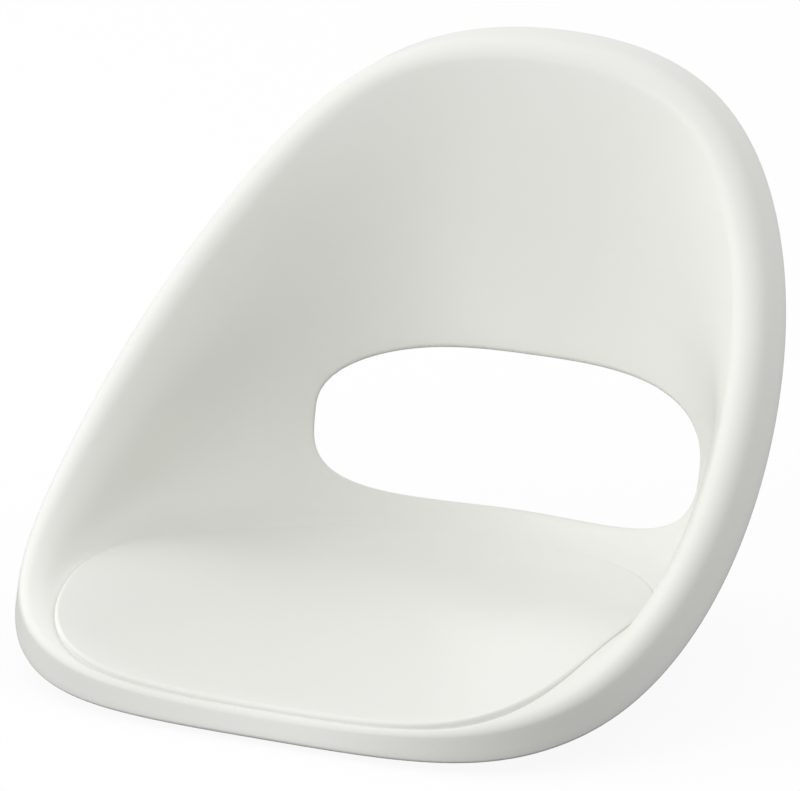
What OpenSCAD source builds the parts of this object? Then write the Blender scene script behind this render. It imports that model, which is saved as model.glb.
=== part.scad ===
// Moulded bucket seat shell for a swivel chair, with its four threaded inserts.
// Millimetres. +Z is up, the front is at -Y, and the swivel axis stands on the origin.
// The lower faces of the mounting bosses lie on z = 0.

/* [Rim] */
// Width across the rim crest, the middle line of the rolled rim
rim_w = 442; // [410:1:490]
// Depth of the rim crest, from the middle of the front to the top of the back
rim_d = 431; // [400:1:480]
// Rise of the rim crest, from the middle of the front to the top of the back
rim_rise = 326; // [280:1:360]
// Distance from the swivel axis to the front crest
front_d = 191.8; // [186:0.2:205]
// Height of the front crest over the mounting faces
front_z = 13.4; // [12.4:0.2:17]
// Radius of the rolled rim at the front
roll_front_r = 6.9; // [6:0.1:9]
// Radius of the rolled rim along the sides
roll_side_r = 11.1; // [8:0.1:13]
// Radius of the rolled rim at the top of the back
roll_top_r = 17.1; // [12:0.1:19]
// Depth of the skirt at the front
skirt_front_d = 12.2; // [9:0.1:14]
// Depth of the skirt along the sides
skirt_side_d = 22.1; // [14:0.1:26]
// Depth of the skirt at the top of the back
skirt_top_d = 18.4; // [12:0.1:24]
// Outward flare of the skirt at the front, in degrees
flare_front = 20; // [8:0.5:28]
// Outward flare of the skirt along the sides, in degrees
flare_side = 20; // [8:0.5:28]
// Outward flare of the skirt at the top, in degrees
flare_top = 16.5; // [8:0.5:28]

/* [Seat] */
// Thickness of the moulded wall
wall_t = 4; // [3:0.25:5]
// Height of the seat's middle over the mounting faces
seat_z = 24; // [20:0.5:26]
// Place of the seat's middle behind the swivel axis
seat_y = 22; // [0:1:50]
// Width of the raised seat panel
panel_w = 370; // [340:1:385]
// Depth of the raised seat panel
panel_d = 360; // [330:1:370]
// Distance from the swivel axis to the panel's front edge
panel_front_y = 193.5; // [188:0.5:195]
// Rise of the panel's sides over the seat's middle
dish_rise = 34.5; // [22:0.5:40]
// Rise of the panel over the shell at its front edge
panel_front_h = 3.4; // [1:0.1:4.5]
// Rise of the panel over the shell at its front corners
panel_corner_h = 3.8; // [1:0.1:4.5]
// Rise of the panel over the shell at its sides
panel_side_h = 1.2; // [0.5:0.1:4]
// Rise of the panel over the shell at its rear edge
panel_back_h = 0.4; // [0.2:0.1:4]
// Width of the panel's rounded shoulder
shoulder_w = 6; // [3:0.5:12]

/* [Back opening] */
// Half width of the opening
opening_hw = 141; // [110:0.5:148]
// Height of the opening's widest line over the seat's middle
opening_z = 70; // [66:0.5:90]
// Rise of the opening above its widest line
opening_up = 46.5; // [30:0.5:55]
// Drop of the opening below its widest line
opening_down = 55; // [30:0.5:56]
// How far the opening's ends hang below its middle
opening_bow = 2.5; // [0:0.5:12]
// Radius of the lip rolled around the opening
lip_r = 4.5; // [3:0.1:6]

/* [Mounting] */
// Bolt spacing across the seat
bolt_x = 150; // [120:1:180]
// Bolt spacing from front to back
bolt_y = 200; // [150:1:210]
// Radius of a boss at its face
boss_r = 10; // [8:0.5:13]
// Draft of a boss, as radius gained per millimetre of height
boss_draft = 0.05; // [0:0.01:0.1]
// Thickness of a rib
rib_t = 3; // [2:0.25:4]
// Height of the ribs' lower edges over the mounting faces
rib_z = 5; // [3:0.5:8]
// Reach of the outrigger ribs beyond the bosses
rib_reach = 62; // [30:1:70]
// Rise of an outrigger rib's lower edge towards its end
rib_rise = 6; // [0:0.5:10]
// Outer radius of a threaded insert
insert_r = 4; // [3.5:0.1:5]
// Bore radius of a threaded insert
insert_bore_r = 2.5; // [2:0.1:3]
// Length of a threaded insert
insert_l = 12; // [8:0.5:14]
// Clearance round a threaded insert
insert_gap = 0.1; // [0.05:0.05:0.2]

/* [Hidden] */

// Guide points of the rim crest, from the front to the top of the back on the right side, as
// shares of half the width, of the depth and of the rise. A smooth B-spline runs near them.
crest_guide = [
    [0.000, 0.003, -0.006], [0.495, -0.006, 0.013], [0.783, 0.043, 0.050],
    [0.956, 0.159, 0.117], [1.016, 0.370, 0.255], [0.979, 0.601, 0.475],
    [0.823, 0.827, 0.730], [0.526, 0.977, 0.971], [0.000, 1.011, 1.013]];
// Guide points of the panel's foot, as shares of half its width, of its depth and of the dish
foot_guide = [
    [0.000, 0.010, -0.154], [0.689, -0.018, -0.009], [0.957, 0.091, 0.620], [1.009, 0.267, 1.095],
    [0.989, 0.474, 0.924], [0.865, 0.708, 0.377], [0.572, 0.941, 0.030], [0.000, 1.031, -0.073]];
// Slope of the shell where it crosses the panel's foot, front to top, in degrees
slope_guide = [-2.8, 5.7, 7.5, 4.4, 11.5, 34.7];
// Lean of the wall from the skirt's line where it meets the rim, front to top, in degrees
lean_guide = [140, 106, 71, 21, 57, 105];
// How far the slope at the foot reaches along the wall, and the lean at the rim back down it
foot_reach_guide = [0.32, 0.35, 0.42, 0.5, 0.42, 0.08];
rim_reach_guide = [0.32, 0.35, 0.39, 0.44, 0.47, 0.45];
// The same two reaches for the seat, from its middle and from the panel's foot
seat_reach = 0.4;
seat_turn = 0.3;
// Turn of the skirt's line from straight down at the front to the top of the back, in even steps
skirt_turn = 80.2;
turn_steps = 5;
// Fullness of the opening's outline above and below its widest line
opening_up_n = 2.95;
opening_down_n = 2.96;

// Counts of the mesh, and the places of its rings along the seat and the wall
spokes = 80;
panel_rings = [0.35, 0.7];
shoulder_steps = 3;
wall_rings = [0.06, 0.16, 0.28, 0.42, 0.56, 0.7, 0.85, 1];
under_wall_rings = [1, 0.85, 0.7, 0.56, 0.42, 0.28, 0.14];
under_seat_rings = [1, 0.7, 0.35];
roll_steps = 5;
hem_steps = 4;
opening_steps = 36;
lip_sides = 12;
round_fn = 32;
bore_fn = 48;
post_fn = 16;

// Small helpers
tiny = 0.002;
function unit(v) = v / norm(v);
function flip(p) = is_num(p) ? p : [-p.x, p.y, p.z];
function mix(a, b, k) = a + (b - a) * k;
function last(c) = c[len(c) - 1];

// Guides are mirrored at the front and at the top, so that the two sides join smoothly.
// "along" draws a uniform cubic B-spline near the guide, "through" a curve that meets its values.
function mirrored(c) = concat([flip(c[1])], c, [flip(c[len(c) - 2])]);
function weights(f) =
    [pow(1 - f, 3), 3 * pow(f, 3) - 6 * f * f + 4, -3 * pow(f, 3) + 3 * f * f + 3 * f + 1, pow(f, 3)] / 6;
function slopes(f) = [-pow(1 - f, 2), 3 * f * f - 4 * f, -3 * f * f + 2 * f + 1, f * f] / 2;
function meeting(f) =
    [-pow(f, 3) + 2 * f * f - f, 3 * pow(f, 3) - 5 * f * f + 2,
     -3 * pow(f, 3) + 4 * f * f + f, pow(f, 3) - f * f] / 2;
function span(m, s) = min(floor(s * (len(m) - 3)), len(m) - 4);
function window(m, i) = [m[i], m[i + 1], m[i + 2], m[i + 3]];
function along(m, s) = let (i = span(m, s)) weights(s * (len(m) - 3) - i) * window(m, i);
function rate(m, s) = let (i = span(m, s)) slopes(s * (len(m) - 3) - i) * window(m, i);
function through(m, s) = let (i = span(m, s)) meeting(s * (len(m) - 3) - i) * window(m, i);

// Guides in millimetres and degrees
crest = mirrored([for (p = crest_guide) [p.x * rim_w / 2, p.y * rim_d - front_d, p.z * rim_rise + front_z]]);
foot_line = mirrored([for (p = foot_guide)
    [p.x * panel_w / 2, p.y * panel_d - panel_front_y, p.z * dish_rise + seat_z]]);
foot_slopes = mirrored(slope_guide);
leans = mirrored(lean_guide);
foot_reach = mirrored(foot_reach_guide);
rim_reach = mirrored(rim_reach_guide);
rolls = mirrored([roll_front_r, mix(roll_front_r, roll_side_r, 0.36), roll_side_r,
    mix(roll_side_r, roll_top_r, 0.58), roll_top_r]);
skirts = mirrored([skirt_front_d, mix(skirt_front_d, skirt_side_d, 0.64), skirt_side_d,
    mix(skirt_side_d, skirt_top_d, 0.55), skirt_top_d]);
flares = mirrored([flare_front, flare_side, flare_top]);
turns = mirrored([for (k = [0 : turn_steps]) skirt_turn * k / turn_steps]);
panel_rise = mirrored([panel_front_h, panel_corner_h, panel_side_h, mix(panel_side_h, panel_back_h, 0.4),
    panel_back_h, panel_back_h]);
seat_middle = [0, seat_y, seat_z];
panel_middle_h = mix(panel_side_h, panel_back_h, 0.5);

// One spoke runs from the seat's middle over the panel's foot to the rim; s is 0 at the front
// and 1 at the top. It holds the Bezier points of the seat and of the wall, the crest point,
// the directions across the rim (outward, and up against the skirt), the roll radius, the lean, s,
// and the Bezier points of the wall's other face.
function spoke(s) = let (
    k = along(crest, s),
    t = unit(rate(crest, s)),
    turn = through(turns, s),
    down = [0, sin(turn), -cos(turn)],
    g = unit(down - (down * t) * t),
    out = unit(cross(g, t)),
    lean = along(leans, s),
    r = through(rolls, s),
    wall = sin(lean) * out - cos(lean) * g,
    end = k - r * (cos(lean) * out + sin(lean) * g),
    foot = along(foot_line, s),
    flat = [foot.x, foot.y - seat_y, 0],
    slope = along(foot_slopes, s),
    rise = cos(slope) * unit(flat) + [0, 0, sin(slope)],
    near = along(foot_reach, s) * rise,
    far = along(rim_reach, s) * wall,
    under_foot = foot - wall_t * unit(cross(rise, rate(foot_line, s))),
    under_end = k - (r - wall_t) * (cos(lean) * out + sin(lean) * g))
    [[seat_middle, seat_middle + seat_reach * flat, foot - seat_turn * norm(flat) * rise, foot],
     wall_line(foot, near, far, end),
     k, out, -g, r, lean, s,
     wall_line(under_foot, near, far, under_end)];
function wall_line(from, near, far, to) = let (chord = norm(to - from))
    [from, from + chord * near, to - chord * far, to];
function bezier(b, r) =
    pow(1 - r, 3) * b[0] + 3 * pow(1 - r, 2) * r * b[1] + 3 * (1 - r) * r * r * b[2] + pow(r, 3) * b[3];
function run(b, r) =
    3 * pow(1 - r, 2) * (b[1] - b[0]) + 6 * (1 - r) * r * (b[2] - b[1]) + 3 * r * r * (b[3] - b[2]);

// A spoke with its two near neighbours, which give the normal of the seat (part 0) or the wall (part 1)
function fan(s) = [spoke(s), spoke(max(0, s - tiny)), spoke(min(1, s + tiny))];
function normal(f, part, r) = part == 0 && r == 0 ? [0, 0, 1]
    : let (n = unit(cross(run(f[0][part], r), bezier(f[2][part], r) - bezier(f[1][part], r))), s = f[0][7])
      s == 0 || s == 1 ? unit([0, n.y, n.z]) : n;
function lifted(f, part, r, h) = bezier(f[0][part], r) + h * normal(f, part, r);

// The raised panel stands on the seat, with a rounded shoulder down to its foot
function panel(f) = let (
    h = through(panel_rise, f[0][7]),
    shoulder = shoulder_w / norm(run(f[0][0], 1)))
    concat(
        [for (k = panel_rings) lifted(f, 0, k * (1 - shoulder), mix(panel_middle_h, h, k * k))],
        [for (j = [0 : shoulder_steps]) let (a = 90 * j / shoulder_steps)
            lifted(f, 0, 1 - shoulder * (1 - sin(a)), h * cos(a))]);

// Arc round the crest, from the wall's side of the rim to the skirt's side
function rim_arc(sp, r, from, to, first, end) =
    [for (j = [first : end]) let (a = mix(from, to, j / roll_steps))
        sp[2] + r * (cos(a) * sp[3] + sin(a) * sp[4])];

// Section of the shell along one spoke: panel, wall, rolled rim, skirt, and back under the wall
function section(s) = let (
    f = fan(s),
    sp = f[0],
    a = 180 - sp[6],
    flare = through(flares, s),
    depth = through(skirts, s) - wall_t / 2,
    out = cos(flare) * sp[3] + sin(flare) * sp[4],
    down = sin(flare) * sp[3] - cos(flare) * sp[4],
    hem = sp[2] + (sp[5] - wall_t / 2) * out + depth * down)
    concat(
        panel(f),
        [for (k = wall_rings) bezier(sp[1], k)],
        rim_arc(sp, sp[5], a, flare, 1, roll_steps),
        [for (j = [0 : hem_steps]) let (b = 180 * j / hem_steps)
            hem + wall_t / 2 * (cos(b) * out + sin(b) * down)],
        rim_arc(sp, sp[5] - wall_t, flare, a, 0, roll_steps - 1),
        [for (k = under_wall_rings) bezier(sp[8], k)],
        [for (k = under_seat_rings) lifted(f, 0, k, -wall_t)]);

// The right side's rows, then the same ones mirrored; rows on the middle line at both ends come once
function both_sides(half, on_middle) = let (skip = on_middle ? 1 : 0)
    concat(half, [for (i = [len(half) - 1 - skip : -1 : skip]) [for (p = half[i]) flip(p)]]);
function quad(a, b, c, d, turned) = turned ? [[a, b, c], [a, c, d]] : [[a, b, d], [b, c, d]];

// A closed skin over the spokes
module spoked(half, top, bottom) {
    rows = both_sides(half, true);
    n = len(rows);
    m = len(rows[0]);
    points = concat([for (row = rows) each row], [top, bottom]);
    faces = concat(
        [for (i = [0 : n - 1]) [n * m, ((i + 1) % n) * m, i * m]],
        [for (i = [0 : n - 1]) [n * m + 1, i * m + m - 1, ((i + 1) % n) * m + m - 1]],
        [for (i = [0 : n - 1]) for (j = [0 : m - 2]) let (k = (i + 1) % n)
            each quad(i * m + j, k * m + j, k * m + j + 1, i * m + j + 1, i < n / 2)]);
    polyhedron(points, faces, convexity = 8);
}

// A closed skin over rings that lie round the opening
module ringed(half, closed) {
    rows = both_sides(half, false);
    n = len(rows);
    m = len(rows[0]);
    middle = function (j) [for (i = [0 : n - 1]) 1 / n] * [for (row = rows) row[j]];
    points = concat([for (row = rows) each row], closed ? [] : [middle(0), middle(m - 1)]);
    faces = concat(
        [for (i = [0 : n - 1]) for (j = [0 : m - (closed ? 1 : 2)]) let (k = (i + 1) % n, l = (j + 1) % m)
            each quad(i * m + j, k * m + j, k * m + l, i * m + l, i < n / 2)],
        closed ? [] : [for (i = [0 : n - 1]) [n * m, ((i + 1) % n) * m, i * m]],
        closed ? [] : [for (i = [0 : n - 1]) [n * m + 1, i * m + m - 1, ((i + 1) % n) * m + m - 1]]);
    polyhedron(points, faces, convexity = 8);
}

// The opening is drawn in the front view and carried onto the wall; the spoke and the place
// along it are found in a few steps from a first guess
search_steps = 8;
most_spoke_step = 0.08;
most_place_step = 0.12;
side_guess = 0.22;
low_guess = 0.15;
high_guess = 0.5;
function limit(v, most) = max(-most, min(most, v));
function find(goal, s, r, tries) = tries == 0 ? [s, r] : let (
    f = fan(s),
    p = bezier(f[0][1], r),
    across = (bezier(f[2][1], r) - bezier(f[1][1], r)) / (f[2][7] - f[1][7]),
    reach = run(f[0][1], r),
    miss = goal - [p.x, p.z],
    det = across.x * reach.z - reach.x * across.z,
    ds = (miss.x * reach.z - reach.x * miss.y) / det,
    dr = (across.x * miss.y - across.z * miss.x) / det)
    find(goal, max(0, min(1, s + limit(ds, most_spoke_step))),
        max(0, min(1, r + limit(dr, most_place_step))), tries - 1);
function opening_goal(a) = let (
    up = a > 0,
    n = up ? opening_up_n : opening_down_n,
    x = opening_hw * pow(cos(a), 2 / n),
    z = (up ? opening_up : -opening_down) * pow(abs(sin(a)), 2 / n))
    [x, seat_z + opening_z + z - opening_bow * pow(x / opening_hw, 2)];
opening_low = seat_z + opening_z - opening_down;
opening_high = seat_z + opening_z + opening_up;
opening_frames = [for (i = [0 : opening_steps - 1]) let (
    goal = opening_goal(-90 + 180 * (i + 0.5) / opening_steps),
    first_r = mix(low_guess, high_guess, (goal.y - opening_low) / (opening_high - opening_low)),
    place = find(goal, 1 - side_guess * goal.x / opening_hw, first_r, search_steps))
    [bezier(spoke(place[0])[1], place[1]), normal(fan(place[0]), 1, place[1])]];
function opening_turn(i) = let (
    place = opening_frames[i][0],
    after = i == opening_steps - 1 ? flip(place) : opening_frames[i + 1][0],
    before = i == 0 ? flip(place) : opening_frames[i - 1][0])
    unit(cross(after - before, opening_frames[i][1]));

// Cutter for the opening, reaching out just past the middle line of its lip
cutter_reach = 60;
cutter_ease = 1.1;
module opening_cutter() {
    ringed([for (i = [0 : opening_steps - 1])
            let (p = opening_frames[i][0] + cutter_ease * lip_r * opening_turn(i))
        [for (h = [cutter_reach, -cutter_reach]) p + h * opening_frames[i][1]]], false);
}

// Rolled lip: a round bead that turns back from the seat's side of the opening
module opening_lip() {
    ringed([for (i = [0 : opening_steps - 1]) let (o = opening_turn(i), n = opening_frames[i][1],
            p = opening_frames[i][0] + lip_r * (o - n))
        [for (j = [0 : lip_sides - 1]) let (a = 360 * j / lip_sides)
            p + lip_r * (sin(a) * n - cos(a) * o)]], true);
}

module shell_skin() {
    half = [for (i = [0 : spokes / 2]) section(2 * i / spokes)];
    spoked(half, seat_middle + [0, 0, panel_middle_h], seat_middle - [0, 0, wall_t]);
}

// Space under the seat, up to the middle of its wall, that holds the bosses and ribs
under_seat_edge = [0.35, 0.7, 0.95];
module under_seat() {
    half = [for (i = [0 : spokes / 2]) let (f = fan(2 * i / spokes),
            tops = [for (k = under_seat_edge) lifted(f, 0, k, -wall_t / 2)])
        concat(tops, [[last(tops).x, last(tops).y, 0]])];
    spoked(half, seat_middle - [0, 0, wall_t / 2], [0, seat_y, 0]);
}

// Bosses and ribs rise to rib_top and are trimmed by the space under the seat
rib_top = seat_z + dish_rise + wall_t;
bosses = [for (x = [-1, 1]) for (y = [-1, 1]) [x * bolt_x / 2, y * bolt_y / 2]];
module post(p, low) {
    translate([p.x, p.y, low]) cylinder(h = rib_top - low, d = rib_t, $fn = post_fn);
}
module rib(a, b, rise = 0) {
    hull() {
        post(a, rib_z);
        post(b, rib_z + rise);
    }
}
module mounting_frame() {
    for (p = bosses) {
        translate([p.x, p.y, 0])
            cylinder(h = rib_top, r1 = boss_r, r2 = boss_r + boss_draft * rib_top, $fn = round_fn);
        rib(p, [-p.x, p.y]);
        rib(p, [p.x, -p.y]);
        rib(p, [p.x + sign(p.x) * rib_reach, p.y], rib_rise);
        rib(p, [p.x, p.y + sign(p.y) * rib_reach], rib_rise);
    }
    rib(bosses[0], bosses[3]);
    rib(bosses[1], bosses[2]);
}

// Pockets are deeper than the inserts by the play, which lets the inserts be pressed flush
insert_play = 1;
module insert_pockets() {
    for (p = bosses)
        translate([p.x, p.y, -insert_play])
            cylinder(h = insert_l + 2 * insert_play, r = insert_r + insert_gap, $fn = bore_fn);
}

module seat_shell() {
    color("whitesmoke")
        difference() {
            union() {
                difference() {
                    shell_skin();
                    opening_cutter();
                }
                opening_lip();
                intersection() {
                    mounting_frame();
                    under_seat();
                }
            }
            insert_pockets();
        }
}

// Pressed-in threaded insert: two bands with a waist between them, and a countersunk mouth
insert_band = 0.38;
insert_waist = 0.6;
insert_sink = 0.5;
insert_nose = 0.4;
module insert(x, y) {
    band = insert_l * insert_band;
    waist_r = insert_r - insert_waist;
    color("goldenrod")
        translate([x * bolt_x / 2, y * bolt_y / 2, 0])
            rotate_extrude($fn = bore_fn)
                polygon([[insert_bore_r + insert_sink, 0], [insert_r, 0], [insert_r, band],
                    [waist_r, band + insert_waist], [waist_r, insert_l - band - insert_waist],
                    [insert_r, insert_l - band], [insert_r, insert_l - insert_nose],
                    [insert_r - insert_nose, insert_l], [insert_bore_r, insert_l],
                    [insert_bore_r, insert_sink]]);
}
module insert_front_left() { insert(-1, -1); }
module insert_front_right() { insert(1, -1); }
module insert_rear_left() { insert(-1, 1); }
module insert_rear_right() { insert(1, 1); }

seat_shell();
insert_front_left();
insert_front_right();
insert_rear_left();
insert_rear_right();
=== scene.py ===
import math

import bmesh
import bpy
import numpy as np
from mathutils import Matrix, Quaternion, Vector
from mathutils.kdtree import KDTree


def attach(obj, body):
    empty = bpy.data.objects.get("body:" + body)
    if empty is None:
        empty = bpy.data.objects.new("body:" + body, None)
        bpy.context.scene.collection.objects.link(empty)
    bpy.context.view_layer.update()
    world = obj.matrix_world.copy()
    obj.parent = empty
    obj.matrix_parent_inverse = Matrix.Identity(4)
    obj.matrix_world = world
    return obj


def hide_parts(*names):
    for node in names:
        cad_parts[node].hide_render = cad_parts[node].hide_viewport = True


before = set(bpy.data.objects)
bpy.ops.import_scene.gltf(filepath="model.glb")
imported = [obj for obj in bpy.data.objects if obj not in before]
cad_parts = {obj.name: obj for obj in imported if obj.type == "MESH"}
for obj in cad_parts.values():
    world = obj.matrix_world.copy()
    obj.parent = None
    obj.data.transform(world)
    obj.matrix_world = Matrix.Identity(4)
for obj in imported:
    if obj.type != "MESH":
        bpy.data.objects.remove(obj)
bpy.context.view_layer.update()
print("frame loaded")

mm = 0.001  # the guides below are in millimetres, Blender is in metres
up = np.array([0, 0, 1.0])

# The rim: one closed curve with a rolled edge and a flared skirt. All guides run from the
# middle of the front to the top of the back; the left side mirrors the right.
rim = {
    "width": 442, "depth": 431, "rise": 326, "frontY": -191.8, "frontZ": 13.4,
    "guide": [(0, .003, -.006), (.495, -.006, .013), (.783, .043, .05), (.956, .159, .117),
              (1.016, .37, .255), (.979, .601, .475), (.823, .827, .73), (.526, .977, .971),
              (0, 1.011, 1.013)],
    "roll": [6.9, 8.412, 11.1, 14.58, 17.1],
    "skirt": [12.2, 18.536, 22.1, 20.065, 18.4],
    "flare": [20, 20, 16.5],
    "turn": 80.2, "turnPoints": 6,
    "lean": [140, 106, 71, 21, 57, 105],
    "wall": 4,
}
# The seat: dished, with a raised panel. The panel's round shoulder ends in a crisp foot line,
# which has a shallow groove along it. The seat comes up to the foot at "slope", and the wall's
# under face leaves it so; the wall's upper face leaves it at "edgeSlope".
seat = {
    "middle": (0, 22, 24), "width": 370, "depth": 360, "frontY": -193.5, "dish": 34.5,
    "guide": [(0, .01, -.154), (.689, -.018, -.009), (.957, .091, .62), (1.009, .267, 1.095),
              (.989, .474, .924), (.865, .708, .377), (.572, .941, .03), (0, 1.031, -.073)],
    "slope": [-2.8, 5.7, 7.5, 4.4, 11.5, 34.7],
    "edgeSlope": [-34, -6, 7.5, 4.4, 11.5, 34.7],
    "footReach": [.32, .35, .42, .5, .42, .08],
    "rimReach": [.32, .35, .39, .44, .47, .45],
    "reach": .4, "turn": .3,
    "panelMiddle": .8,
    "panelRise": [3.4, 3.8, 1.2, .88, .4, .4],
    "shoulder": [4, 2, 3, 1.8, 1.5, 2],
    "grooveDeep": [.4, 1.1, .5, .7, .5, 0],
    "grooveWide": [1.2, 3.2, 2, 1.4, 1.4, 1.4],
}
# The opening in the back, drawn in the front view, and the lip rolled round it
opening = {
    "halfWidth": 141, "z": 94, "up": 46.5, "down": 55, "bow": 2.5,
    "fullUp": 2.95, "fullDown": 2.96, "lip": 4.5, "lipTurn": 250, "rearReach": 2.5,
}
# Mesh fineness. The wall's rings stand between 0 at the foot and 1 at the rim, and the first
# one also within "firstAway" millimetres of the foot. "near" and "weld" are in millimetres.
mesh = {
    "half": 144, "seatRings": 12, "shoulderSteps": 6, "firstRing": .006, "firstAway": .7,
    "wallRings": [.012, .03, .06, .095, .13, .165, .2, .235, .27, .305, .34, .375, .41, .445,
                  .48, .515, .55, .585, .62, .66, .7, .74, .78, .82, .86, .9, .94, .97, 1],
    "rollSteps": 14, "skirtSteps": 4, "hemSteps": 8, "innerSkirtSteps": 3, "innerSteps": 6,
    "blockLow": 1, "blockHigh": 20, "blockSpokes": 52, "blockRings": 7,
    "lipSteps": 14, "rearSteps": 4, "near": .02, "weld": .01,
}
# How a point of the front view is found on the wall: first guess, steps and longest step, and
# the small difference in s that rates are taken over
search = {"side": .22, "low": .15, "high": .35, "steps": 10, "mostS": .08, "mostR": .12}
tiny = .002


def near(guide, s):
    # uniform cubic B-spline beside the guide points, mirrored at both ends; value and rate
    g = np.asarray(guide, float)
    n = len(g) - 1
    before, after = g[1].copy(), g[n - 1].copy()
    if g.ndim == 2:
        before[0] *= -1
        after[0] *= -1
    else:
        g, before, after = g[:, None], np.array([before]), np.array([after])
    g = np.concatenate([before[None], g, after[None]])
    x = np.clip(s, 0, 1) * n
    i = np.minimum(x.astype(int), n - 1)
    f = (x - i)[:, None]
    w = [(1 - f) ** 3 / 6, (3 * f ** 3 - 6 * f * f + 4) / 6,
         (-3 * f ** 3 + 3 * f * f + 3 * f + 1) / 6, f ** 3 / 6]
    d = [-(1 - f) ** 2 / 2, (3 * f * f - 4 * f) / 2, (-3 * f * f + 2 * f + 1) / 2, f * f / 2]
    return sum(w[k] * g[i + k] for k in range(4)), sum(d[k] * g[i + k] for k in range(4)) * n


def meets(values, s):
    # smooth curve through the values
    g = np.asarray(values, float)
    n = len(g) - 1
    g = np.concatenate([[g[1]], g, [g[n - 1]]])
    x = np.clip(s, 0, 1) * n
    i = np.minimum(x.astype(int), n - 1)
    f = x - i
    w = [(-f ** 3 + 2 * f * f - f) / 2, (3 * f ** 3 - 5 * f * f + 2) / 2,
         (-3 * f ** 3 + 4 * f * f + f) / 2, (f ** 3 - f * f) / 2]
    return sum(w[k] * g[i + k] for k in range(4))[:, None]


def lengths(v):
    return np.linalg.norm(v, axis=1)[:, None]


def unit(v):
    return v / lengths(v)


def dot(a, b):
    return (a * b).sum(1)[:, None]


crestGuide = [(x * rim["width"] / 2, y * rim["depth"] + rim["frontY"],
               z * rim["rise"] + rim["frontZ"]) for x, y, z in rim["guide"]]
footGuide = [(x * seat["width"] / 2, y * seat["depth"] + seat["frontY"],
              z * seat["dish"] + seat["middle"][2]) for x, y, z in seat["guide"]]


def spokes(s):
    # what runs from the seat's middle over the panel's foot to the rim, s being 0 in front and
    # 1 on top: Bezier lines of the seat, the wall and the wall's under face, and the rim's frame
    s = np.asarray(s, float)
    crest, rate = near(crestGuide, s)
    t = unit(rate)
    turn = np.radians(meets(rim["turn"] * np.linspace(0, 1, rim["turnPoints"]), s))[:, 0]
    down = np.c_[0 * s, np.sin(turn), -np.cos(turn)]
    g = unit(down - dot(down, t) * t)
    out = unit(np.cross(g, t))
    lean = np.radians(near(rim["lean"], s)[0])
    roll = meets(rim["roll"], s)
    wallEnd = np.sin(lean) * out - np.cos(lean) * g
    inward = np.cos(lean) * out + np.sin(lean) * g
    end, underEnd = crest - roll * inward, crest - (roll - rim["wall"]) * inward
    foot, footRate = near(footGuide, s)
    middle = np.array(seat["middle"], float)
    flat = (foot - middle) * [1, 1, 0]
    slopes = [np.radians(near(seat[name], s)[0]) for name in ("slope", "edgeSlope")]
    rise, edgeRise = [np.cos(slope) * unit(flat) + np.sin(slope) * up for slope in slopes]
    underFoot = foot - rim["wall"] * unit(np.cross(rise, footRate))
    lines = [(middle + 0 * foot, middle + seat["reach"] * flat,
              foot - seat["turn"] * lengths(flat) * rise, foot)]
    for a, b, leave in ((foot, end, edgeRise), (underFoot, underEnd, rise)):
        chord = lengths(b - a)
        lines.append((a, a + near(seat["footReach"], s)[0] * chord * leave,
                      b - near(seat["rimReach"], s)[0] * chord * wallEnd, b))
    return {"lines": lines, "crest": crest, "out": out, "up": -g, "roll": roll, "lean": lean}


def bezier(b, r):
    return ((1 - r) ** 3 * b[0] + 3 * (1 - r) ** 2 * r * b[1] + 3 * (1 - r) * r * r * b[2]
            + r ** 3 * b[3])


def bezierRate(b, r):
    return (3 * (1 - r) ** 2 * (b[1] - b[0]) + 6 * (1 - r) * r * (b[2] - b[1])
            + 3 * r * r * (b[3] - b[2]))


def skin(part, s, r, lift=0.0, side=1):
    # place and normal on the seat (part 0), the wall (1) or the wall's under face (2), lifted
    # along the normal; side -1 is the left
    s = np.asarray(s, float)
    r = np.broadcast_to(np.asarray(r, float).reshape(-1, 1), (len(s), 1))
    before, here, after = [spokes(v)["lines"][part]
                           for v in (np.maximum(0, s - tiny), s, np.minimum(1, s + tiny))]
    n = np.cross(bezierRate(here, r), bezier(after, r) - bezier(before, r))
    n[(s == 0) | (s == 1), 0] = 0
    n = unit(n)
    p = bezier(here, r) + np.asarray(lift) * n
    flip = np.c_[np.broadcast_to(side, len(s)), np.ones(len(s)), np.ones(len(s))]
    return p * flip, n * flip


def bothSides(right):
    # a ring's right half, then the same points mirrored
    left = right[-2:0:-1] * [-1, 1, 1]
    return np.concatenate([right, left])


def findOnWall(x, z):
    # spoke and place on the wall that a point of the front view falls on
    s = 1 - search["side"] * x / opening["halfWidth"]
    r = search["low"] + search["high"] * (z - z.min()) / (z.max() - z.min())
    for step in range(search["steps"]):
        sa, sb = np.maximum(0, s - tiny), np.minimum(1, s + tiny)
        before, here, after = [spokes(v)["lines"][1] for v in (sa, s, sb)]
        p, along = bezier(here, r[:, None]), bezierRate(here, r[:, None])
        across = bezier(after, r[:, None]) - bezier(before, r[:, None])
        across /= (sb - sa)[:, None]
        dx, dz = x - p[:, 0], z - p[:, 2]
        det = across[:, 0] * along[:, 2] - along[:, 0] * across[:, 2]
        ds = (dx * along[:, 2] - along[:, 0] * dz) / det
        dr = (across[:, 0] * dz - across[:, 2] * dx) / det
        s = np.clip(s + np.clip(ds, -search["mostS"], search["mostS"]), 0, 1)
        r = np.clip(r + np.clip(dr, -search["mostR"], search["mostR"]), 0, 1)
    return s, r


def treeOf(points):
    # finds the nearest of the points, which are in millimetres
    tree = KDTree(len(points))
    for i, p in enumerate(points):
        tree.insert(Vector(p) * mm, i)
    tree.balance()
    return tree


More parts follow.
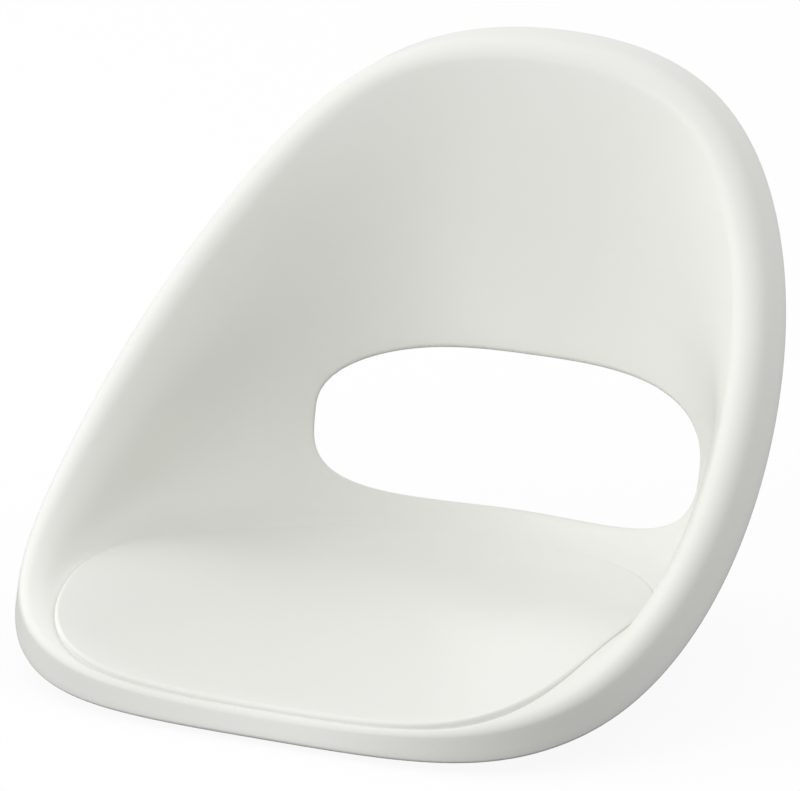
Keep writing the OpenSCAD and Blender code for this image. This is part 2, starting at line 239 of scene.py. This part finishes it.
def addRings(ob, old, rings):
    # extrudes the selected loop of edges once for each ring and puts each new vertex in place
    for ring in rings:
        bpy.ops.mesh.extrude_edges_move()
        tree = treeOf(old)
        bm = bmesh.from_edit_mesh(ob.data)
        for v in bm.verts:
            if v.select:
                v.co = Vector(ring[tree.find(v.co)[1]]) * mm
        bmesh.update_edit_mesh(ob.data)
        old = ring


def selectNear(ob, points):
    # selects just the vertices that stand on the given points, in edit mode
    tree = treeOf(points)
    bpy.ops.mesh.select_mode(type="VERT")
    bpy.ops.mesh.select_all(action="DESELECT")
    bm = bmesh.from_edit_mesh(ob.data)
    for v in bm.verts:
        v.select = tree.find(v.co)[2] < mesh["near"] * mm
    bm.select_flush(True)
    bmesh.update_edit_mesh(ob.data)


# Rings of the shell, from the seat's middle out over the rim and back under the seat
half, thick = mesh["half"], rim["wall"]
sRight = np.linspace(0, 1, half + 1)
sp = spokes(sRight)
seatLines, wallLines = sp["lines"][:2]
panelRise, shoulder, grooveDeep, grooveWide = [
    meets(seat[name], sRight) for name in ("panelRise", "shoulder", "grooveDeep", "grooveWide")]
grooveDeep = np.maximum(grooveDeep, 0)
shoulder /= lengths(bezierRate(seatLines, np.ones((half + 1, 1))))
rings = []
for k in range(1, mesh["seatRings"] + 1):
    share = k / mesh["seatRings"]
    lift = seat["panelMiddle"] + (panelRise - seat["panelMiddle"]) * share ** 2
    rings.append(skin(0, sRight, share * (1 - shoulder), lift)[0])
for k in range(1, mesh["shoulderSteps"] + 1):
    a = math.pi / 2 * k / mesh["shoulderSteps"]
    deep = grooveDeep if k == mesh["shoulderSteps"] else 0
    lift = panelRise * math.cos(a) - deep
    rings.append(skin(0, sRight, 1 - shoulder * (1 - math.sin(a)), lift)[0])
footRing = len(rings) - 1
leaving = lengths(bezierRate(wallLines, np.zeros((half + 1, 1))))
for r in [np.minimum(mesh["firstRing"], mesh["firstAway"] / leaving)] + mesh["wallRings"]:
    away = lengths(skin(1, sRight, r)[0] - wallLines[0]) / grooveWide
    rings.append(skin(1, sRight, r, -grooveDeep * np.maximum(1 - away, 0) ** 2)[0])
start = math.pi - sp["lean"]
flare, skirt = np.radians(meets(rim["flare"], sRight)), meets(rim["skirt"], sRight)


def roundCrest(radius, a):
    # points at an angle round the rim's crest, turning from outward to up
    return sp["crest"] + radius * (np.cos(a) * sp["out"] + np.sin(a) * sp["up"])


for k in range(1, mesh["rollSteps"] + 1):
    rings.append(roundCrest(sp["roll"], start + (flare - start) * k / mesh["rollSteps"]))
outward = np.cos(flare) * sp["out"] + np.sin(flare) * sp["up"]
downward = np.sin(flare) * sp["out"] - np.cos(flare) * sp["up"]
hem = sp["crest"] + (sp["roll"] - thick / 2) * outward + (skirt - thick / 2) * downward
top = rings[-1]
for k in range(1, mesh["skirtSteps"]):
    rings.append(top + (hem + thick / 2 * outward - top) * k / mesh["skirtSteps"])
for k in range(mesh["hemSteps"] + 1):
    b = math.pi * k / mesh["hemSteps"]
    rings.append(hem + thick / 2 * (math.cos(b) * outward + math.sin(b) * downward))
low, high = rings[-1], roundCrest(sp["roll"] - thick, flare)
for k in range(1, mesh["innerSkirtSteps"]):
    rings.append(low + (high - low) * k / mesh["innerSkirtSteps"])
for k in range(mesh["innerSteps"]):
    a = flare + (start - flare) * k / mesh["innerSteps"]
    rings.append(roundCrest(sp["roll"] - thick, a))
for r in mesh["wallRings"][::-1]:
    rings.append(skin(2, sRight, r)[0])
for k in range(mesh["seatRings"], 0, -1):
    rings.append(skin(0, sRight, k / mesh["seatRings"], -thick)[0])
rings = [bothSides(r) for r in rings]
print("shell rings:", len(rings), "of", len(rings[0]))

# The opening's rings, from a block of the wall round the opening over the lip to the rear
wallRs, cols = mesh["wallRings"], mesh["blockSpokes"]
lowRing, highRing = mesh["blockLow"], mesh["blockHigh"]
loop = [(c, lowRing) for c in range(-cols, cols)]
loop += [(cols, j) for j in range(lowRing, highRing)]
loop += [(c, highRing) for c in range(cols, -cols, -1)]
loop += [(-cols, j) for j in range(highRing, lowRing, -1)]
blockU = np.array([c / half for c, j in loop])
blockR = np.array([wallRs[j] for c, j in loop])


def onWall(u, r, part=1):
    # place and normal on the wall, u being 0 on top and below 0 on the left
    return skin(part, 1 - np.abs(u), r, 0.0, np.where(u < 0, -1, 1))


def frontView(p):
    # signed place on the wall of points seen from the front
    s, r = findOnWall(np.abs(p[:, 0]), p[:, 2])
    return (1 - s) * np.sign(p[:, 0]), r


blockPlace = onWall(blockU, blockR)[0]
across = np.abs(blockPlace[:, 0]) / opening["halfWidth"]
above = blockPlace[:, 2] - opening["z"] + opening["bow"] * np.minimum(across, 1) ** 2
full = np.where(above > 0, opening["fullUp"], opening["fullDown"])
tall = np.where(above > 0, opening["up"], opening["down"])
angle = np.arctan2((np.abs(above) / tall) ** (full / 2), across ** (full / 2))
edgeX = opening["halfWidth"] * np.cos(angle) ** (2 / full)
edgeZ = opening["z"] + np.sign(above) * tall * np.sin(angle) ** (2 / full)
edgeZ -= opening["bow"] * (edgeX / opening["halfWidth"]) ** 2
edgeU, edgeR = frontView(np.c_[edgeX * np.sign(blockPlace[:, 0]), 0 * edgeX, edgeZ])
edge, edgeN = onWall(edgeU, edgeR)
print("opening spans u", edgeU.min().round(3), edgeU.max().round(3),
      "r", edgeR.min().round(3), edgeR.max().round(3))
away = unit(np.cross(np.roll(edge, -1, 0) - np.roll(edge, 1, 0), edgeN))
if dot(away, blockPlace - edge).sum() < 0:
    away = -away
lip, lipTurn = opening["lip"], math.radians(opening["lipTurn"])
turnU, turnR = frontView(edge + lip * away)
turnPlace, turnN = onWall(turnU, turnR)
turnAway = unit(away - dot(away, turnN) * turnN)
rearU, rearR = frontView(edge + opening["rearReach"] * lip * away)
rearPlace = onWall(rearU, rearR, 2)[0]
lipRings = []


def crossWall(part, u, r, lastU, lastR):
    # rings over one face of the wall, in even steps
    for k in range(1, mesh["blockRings"] + 1):
        share = k / mesh["blockRings"]
        lipRings.append(onWall(u + (lastU - u) * share, r + (lastR - r) * share, part)[0])


crossWall(1, blockU, blockR, turnU, turnR)
lipMiddle = turnPlace - lip * turnN
for k in range(1, mesh["lipSteps"] + 1):
    a = lipTurn * k / mesh["lipSteps"]
    lipRings.append(lipMiddle + lip * (math.cos(a) * turnN - math.sin(a) * turnAway))
lipEnd = lipRings[-1]
ahead = -math.sin(lipTurn) * turnN - math.cos(lipTurn) * turnAway
corner = lipEnd + ahead * (dot(rearPlace - lipEnd, turnN) / dot(ahead, turnN))
for k in range(1, mesh["rearSteps"] + 1):
    t = k / mesh["rearSteps"]
    lipRings.append((1 - t) ** 2 * lipEnd + 2 * (1 - t) * t * corner + t * t * rearPlace)
crossWall(2, rearU, rearR, blockU, blockR)

# The shell is drawn out from a disc in the middle of the seat
bpy.ops.object.select_all(action="DESELECT")
discPlace = Vector(seat["middle"]) * mm + Vector((0, 0, seat["panelMiddle"])) * mm
bpy.ops.mesh.primitive_circle_add(vertices=2 * half, fill_type="TRIFAN", location=discPlace,
                                  radius=seat["width"] / 2 / mesh["seatRings"] * mm)
shell = bpy.context.object
shell.name = "seatShell"
bpy.ops.object.transform_apply(location=True, rotation=False, scale=False)
bpy.ops.object.mode_set(mode="EDIT")
bm = bmesh.from_edit_mesh(shell.data)
fan = sorted((v for v in bm.verts if (v.co - discPlace).length > mm),
             key=lambda v: math.atan2(v.co.x, discPlace.y - v.co.y) % (2 * math.pi))
for v, p in zip(fan, rings[0]):
    v.co = Vector(p) * mm
bmesh.update_edit_mesh(shell.data)
selectNear(shell, rings[0])
addRings(shell, rings[0], rings[1:])
bpy.ops.mesh.edge_face_add()
bpy.ops.mesh.poke()
print("shell drawn")

# The wall's block round the opening is taken out of both faces, then the lip is drawn through
inner = np.array([(c / half, wallRs[j]) for c in range(1 - cols, cols)
                  for j in range(lowRing + 1, highRing)])
for part in (1, 2):
    selectNear(shell, onWall(inner[:, 0], inner[:, 1], part)[0])
    bpy.ops.mesh.delete(type="VERT")
selectNear(shell, blockPlace)
addRings(shell, blockPlace, lipRings)
bpy.ops.mesh.select_all(action="SELECT")
bpy.ops.mesh.remove_doubles(threshold=mesh["weld"] * mm)
bpy.ops.mesh.normals_make_consistent(inside=False)
selectNear(shell, rings[footRing])
bpy.ops.mesh.mark_sharp()
bpy.ops.mesh.select_all(action="DESELECT")
bpy.ops.mesh.select_non_manifold()
bm = bmesh.from_edit_mesh(shell.data)
print("open edges:", sum(e.select for e in bm.edges), "faces:", len(bm.faces))
bpy.ops.object.mode_set(mode="OBJECT")
bpy.ops.object.shade_smooth()
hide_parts("seat_shell")
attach(shell, "root")
print("lip drawn")

# Bosses and ribs under the seat. A boss widens with its draft up to the height "top".
boss = {"x": 75, "y": 100, "radius": 10, "draft": .05, "top": 20, "chamfer": .6, "embed": 1.5,
        "bore": 4.1, "boreDepth": 13, "boreChamfer": .3, "sides": 64}
rib = {"thick": 3, "z": 5, "rise": 6, "reach": 62, "step": 6, "embed": 1.5,
       "round": .5, "roundSteps": 2, "smoothAngle": 30}
below = 50  # where the rays that feel for the shell's underside start


def underside(x, y):
    # height of the shell's underside, felt from below
    hit, place = shell.ray_cast(Vector((x, y, -below)) * mm, Vector((0, 0, 1)))[:2]
    return place.z / mm if hit else seat["middle"][2]


def drawBoss(x, y):
    # a boss with its bore, its top edge let into the shell's underside
    bpy.ops.object.select_all(action="DESELECT")
    bpy.ops.mesh.primitive_circle_add(vertices=boss["sides"], radius=boss["bore"] * mm,
                                      fill_type="NGON",
                                      location=(x * mm, y * mm, boss["boreDepth"] * mm))
    ob = bpy.context.object
    bpy.ops.object.transform_apply(location=True, rotation=False, scale=False)
    bpy.ops.object.mode_set(mode="EDIT")
    bpy.ops.mesh.select_all(action="SELECT")
    bpy.ops.mesh.region_to_loop()
    turn = np.linspace(0, 2 * math.pi, boss["sides"], endpoint=False)

    def circle(radius, z):
        return np.array([x, y, 0]) + np.c_[radius * np.cos(turn), radius * np.sin(turn),
                                           z + 0 * turn]

    roof = circle(boss["radius"] + boss["draft"] * boss["top"], 0)
    roof[:, 2] = [underside(px, py) + boss["embed"] for px, py, pz in roof]
    addRings(ob, circle(boss["bore"], boss["boreDepth"]),
             [circle(boss["bore"], boss["boreChamfer"]),
              circle(boss["bore"] + boss["boreChamfer"], 0),
              circle(boss["radius"] - boss["chamfer"], 0),
              circle(boss["radius"], boss["chamfer"]), roof])
    bpy.ops.mesh.edge_face_add()
    bpy.ops.mesh.select_all(action="SELECT")
    bpy.ops.mesh.normals_make_consistent(inside=False)
    bpy.ops.object.mode_set(mode="OBJECT")
    frameParts.append(ob)


def drawRib(a, b, rise=0):
    # an upright plate between two points, its top edge let into the shell's underside
    a, b = np.array(a, float), np.array(b, float)
    steps = max(2, int(np.linalg.norm(b - a) / rib["step"]))
    bpy.ops.object.select_all(action="DESELECT")
    bpy.ops.mesh.primitive_grid_add(x_subdivisions=steps, y_subdivisions=1, size=1)
    ob = bpy.context.object
    bpy.ops.object.mode_set(mode="EDIT")
    bm = bmesh.from_edit_mesh(ob.data)
    for v in bm.verts:
        t = v.co.x + .5  # the grid is 1 long and lies over the middle
        p = a + (b - a) * t
        z = underside(*p) + rib["embed"] if v.co.y > 0 else rib["z"] + rise * t
        v.co = Vector((p[0], p[1], z)) * mm
    bmesh.update_edit_mesh(ob.data)
    bpy.ops.object.mode_set(mode="OBJECT")
    plate = ob.modifiers.new("thickness", "SOLIDIFY")
    plate.thickness, plate.offset = rib["thick"] * mm, 0
    soft = ob.modifiers.new("edges", "BEVEL")
    soft.width, soft.segments, soft.limit_method = rib["round"] * mm, rib["roundSteps"], "ANGLE"
    for name in ("thickness", "edges"):
        bpy.ops.object.modifier_apply(modifier=name)
    frameParts.append(ob)


bpy.context.view_layer.update()
frameParts = []
bx, by, far = boss["x"], boss["y"], rib["reach"]
for sx in (-1, 1):
    for sy in (-1, 1):
        drawBoss(sx * bx, sy * by)
for side in (-1, 1):
    drawRib((-bx, side * by), (bx, side * by))
    drawRib((side * bx, -by), (side * bx, by))
    drawRib((-side * bx, -by), (side * bx, by))
    for end in (-1, 1):
        drawRib((side * bx, end * by), (side * (bx + far), end * by), rib["rise"])
        drawRib((side * bx, end * by), (side * bx, end * (by + far)), rib["rise"])
bpy.ops.object.select_all(action="DESELECT")
for ob in frameParts:
    ob.select_set(True)
bpy.context.view_layer.objects.active = frameParts[0]
bpy.ops.object.join()
ribs = bpy.context.object
ribs.name = "bossesAndRibs"
bpy.ops.object.shade_smooth_by_angle(angle=math.radians(rib["smoothAngle"]))
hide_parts("seat_shell")
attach(ribs, "root")
print("bosses and ribs drawn")

# Materials. A colour varies between the "dark" and "light" shares of it, and the roughness
# between "less" under and "more" over it. Noise scales are per metre.
plastic = {"color": (.80, .805, .765), "dark": (.985, .985, .98), "light": (1.01, 1.01, 1.015),
           "roughness": .42, "less": .05, "more": .06, "cloud": 9, "cloudDetail": 3,
           "grain": 1500, "grainDetail": 2, "grainHeight": .03, "grainStrength": .25}
brass = {"color": (.66, .47, .20), "dark": (.9, .9, .9), "light": (1.08, 1.08, 1.1),
         "roughness": .28, "less": .06, "more": .12, "scratch": 400, "scratchDetail": 2}


def newMaterial(name):
    mat = bpy.data.materials.new(name)
    mat.use_nodes = True
    return mat, mat.node_tree.nodes, mat.node_tree.links


def noise(nodes, links, scale, detail):
    # noise in the object's own place
    place, node = nodes.new("ShaderNodeTexCoord"), nodes.new("ShaderNodeTexNoise")
    node.inputs["Scale"].default_value = scale
    node.inputs["Detail"].default_value = detail
    links.new(place.outputs["Object"], node.inputs["Vector"])
    return node.outputs["Fac"]


def vary(nodes, links, kind, factor, a, b, target):
    # leads a mix of a and b by the factor into an input of the shader
    node = nodes.new("ShaderNodeMix")
    node.data_type = kind
    first, second, result = {"RGBA": (6, 7, 2), "FLOAT": (2, 3, 0)}[kind]
    node.inputs[first].default_value, node.inputs[second].default_value = a, b
    links.new(factor, node.inputs[0])
    links.new(node.outputs[result], nodes["Principled BSDF"].inputs[target])


def dress(nodes, links, look, colorNoise, roughNoise):
    # a look's colour and roughness, each varied by a noise
    dark, light = [(*(c * f for c, f in zip(look["color"], look[name])), 1)
                   for name in ("dark", "light")]
    smooth, rough = look["roughness"] - look["less"], look["roughness"] + look["more"]
    vary(nodes, links, "RGBA", colorNoise, dark, light, "Base Color")
    vary(nodes, links, "FLOAT", roughNoise, smooth, rough, "Roughness")


mat, nodes, links = newMaterial("mouldedPlastic")
grain = noise(nodes, links, plastic["grain"], plastic["grainDetail"])
dress(nodes, links, plastic, noise(nodes, links, plastic["cloud"], plastic["cloudDetail"]), grain)
bump = nodes.new("ShaderNodeBump")
bump.inputs["Strength"].default_value = plastic["grainStrength"]
bump.inputs["Distance"].default_value = plastic["grainHeight"] * mm
links.new(grain, bump.inputs["Height"])
links.new(bump.outputs["Normal"], nodes["Principled BSDF"].inputs["Normal"])
for ob in (shell, ribs):
    ob.data.materials.clear()
    ob.data.materials.append(mat)

brassMat, nodes, links = newMaterial("turnedBrass")
nodes["Principled BSDF"].inputs["Metallic"].default_value = 1
marks = noise(nodes, links, brass["scratch"], brass["scratchDetail"])
dress(nodes, links, brass, marks, marks)
for name in ("insert_front_left", "insert_front_right", "insert_rear_left", "insert_rear_right"):
    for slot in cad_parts[name].material_slots:
        slot.material = brassMat
print("materials made")

# Floor, light and camera. The camera sees a nearly white floor and background, and a darker
# floor and sky light the shell. Places are in metres.
studio = {"floor": 14, "floorPlace": (0, 3, 0), "floorSeen": (.9, .9, .9),
          "floorBounce": (.16, .16, .16), "floorWhite": .92, "world": .89, "aim": (0, 0, .15),
          "key": 30, "keySize": 2.2, "keyPlace": (-2.4, -2.6, 1.2),
          "side": 17, "sideSize": 2.2, "sidePlace": (-2.6, -1.2, 2.6),
          "left": 13, "leftSize": 2, "leftPlace": (-3.2, -.2, .9)}
white = (1, 1, 1, 1)


def newShader(nodes, kind, color, strength=None):
    node = nodes.new(kind)
    node.inputs["Color"].default_value = color
    if strength is not None:
        node.inputs["Strength"].default_value = strength
    return node


def blend(nodes, links, factor, a, b):
    # one shader where the factor is 0, the other where it is 1
    node = nodes.new("ShaderNodeMixShader")
    links.new(a.outputs[0], node.inputs[1])
    links.new(b.outputs[0], node.inputs[2])
    if isinstance(factor, float):
        node.inputs[0].default_value = factor
    else:
        links.new(factor, node.inputs[0])
    return node


def surface(nodes, links, output, lights, seen):
    # one shader for what lights the shell, another for what the camera sees
    rays = nodes.new("ShaderNodeLightPath").outputs["Is Camera Ray"]
    both = blend(nodes, links, rays, lights, seen)
    links.new(both.outputs[0], nodes[output].inputs["Surface"])


bpy.ops.object.select_all(action="DESELECT")
bpy.ops.mesh.primitive_plane_add(size=studio["floor"], location=studio["floorPlace"])
floor = bpy.context.object
floor.name = "floor"
floorMat, nodes, links = newMaterial("paleFloor")
nodes.remove(nodes["Principled BSDF"])
bounce = newShader(nodes, "ShaderNodeBsdfDiffuse", (*studio["floorBounce"], 1))
seen = blend(nodes, links, studio["floorWhite"],
             newShader(nodes, "ShaderNodeBsdfDiffuse", (*studio["floorSeen"], 1)),
             newShader(nodes, "ShaderNodeEmission", white, 1))
surface(nodes, links, "Material Output", bounce, seen)
floor.data.materials.append(floorMat)

scene = bpy.context.scene
world = bpy.data.worlds.new("studio")
scene.world = world
world.use_nodes = True
nodes, links = world.node_tree.nodes, world.node_tree.links
sky = nodes["Background"]
sky.inputs["Color"].default_value = white
sky.inputs["Strength"].default_value = studio["world"]
surface(nodes, links, "World Output", sky, newShader(nodes, "ShaderNodeBackground", white, 1))

for name in ("key", "side", "left"):
    light = bpy.data.lights.new(name + "Lamp", "AREA")
    light.shape, light.size, light.energy = "DISK", studio[name + "Size"], studio[name]
    lamp = bpy.data.objects.new(name + "Lamp", light)
    scene.collection.objects.link(lamp)
    lamp.location = studio[name + "Place"]
    lamp.rotation_mode = "QUATERNION"
    lamp.rotation_quaternion = (Vector(studio["aim"]) - lamp.location).to_track_quat("-Z", "Y")

# The photograph's camera, found by fitting the shell's outline; pixels are of the 800 x 791
# picture, and the clip distances are in metres
photo = {"azimuth": 25.1710, "elevation": 17.3993, "distance": 3889.6,
         "target": (0, 61.8, 172.32), "focal": 5929.4, "width": 800, "sensor": 36,
         "targetX": 39.23, "targetY": 26.31, "clipStart": .1, "clipEnd": 50}
a, e = math.radians(photo["azimuth"]), math.radians(photo["elevation"])
ahead = Vector((-math.sin(a) * math.cos(e), math.cos(a) * math.cos(e), -math.sin(e)))
lens = bpy.data.cameras.new("photoCamera")
lens.sensor_width = photo["sensor"]
lens.lens = photo["focal"] * lens.sensor_width / photo["width"]
lens.clip_start, lens.clip_end = photo["clipStart"], photo["clipEnd"]
camera = bpy.data.objects.new("photoCamera", lens)
scene.collection.objects.link(camera)
camera.location = Vector(photo["target"]) * mm - ahead * photo["distance"] * mm
camera.rotation_mode = "QUATERNION"
toLeft = Quaternion((0, 1, 0), math.atan(photo["targetX"] / photo["focal"]))
toFloor = Quaternion((1, 0, 0), -math.atan(photo["targetY"] / photo["focal"]))
camera.rotation_quaternion = ahead.to_track_quat("-Z", "Y") @ toLeft @ toFloor
scene.camera = camera
scene.view_settings.view_transform = "Standard"
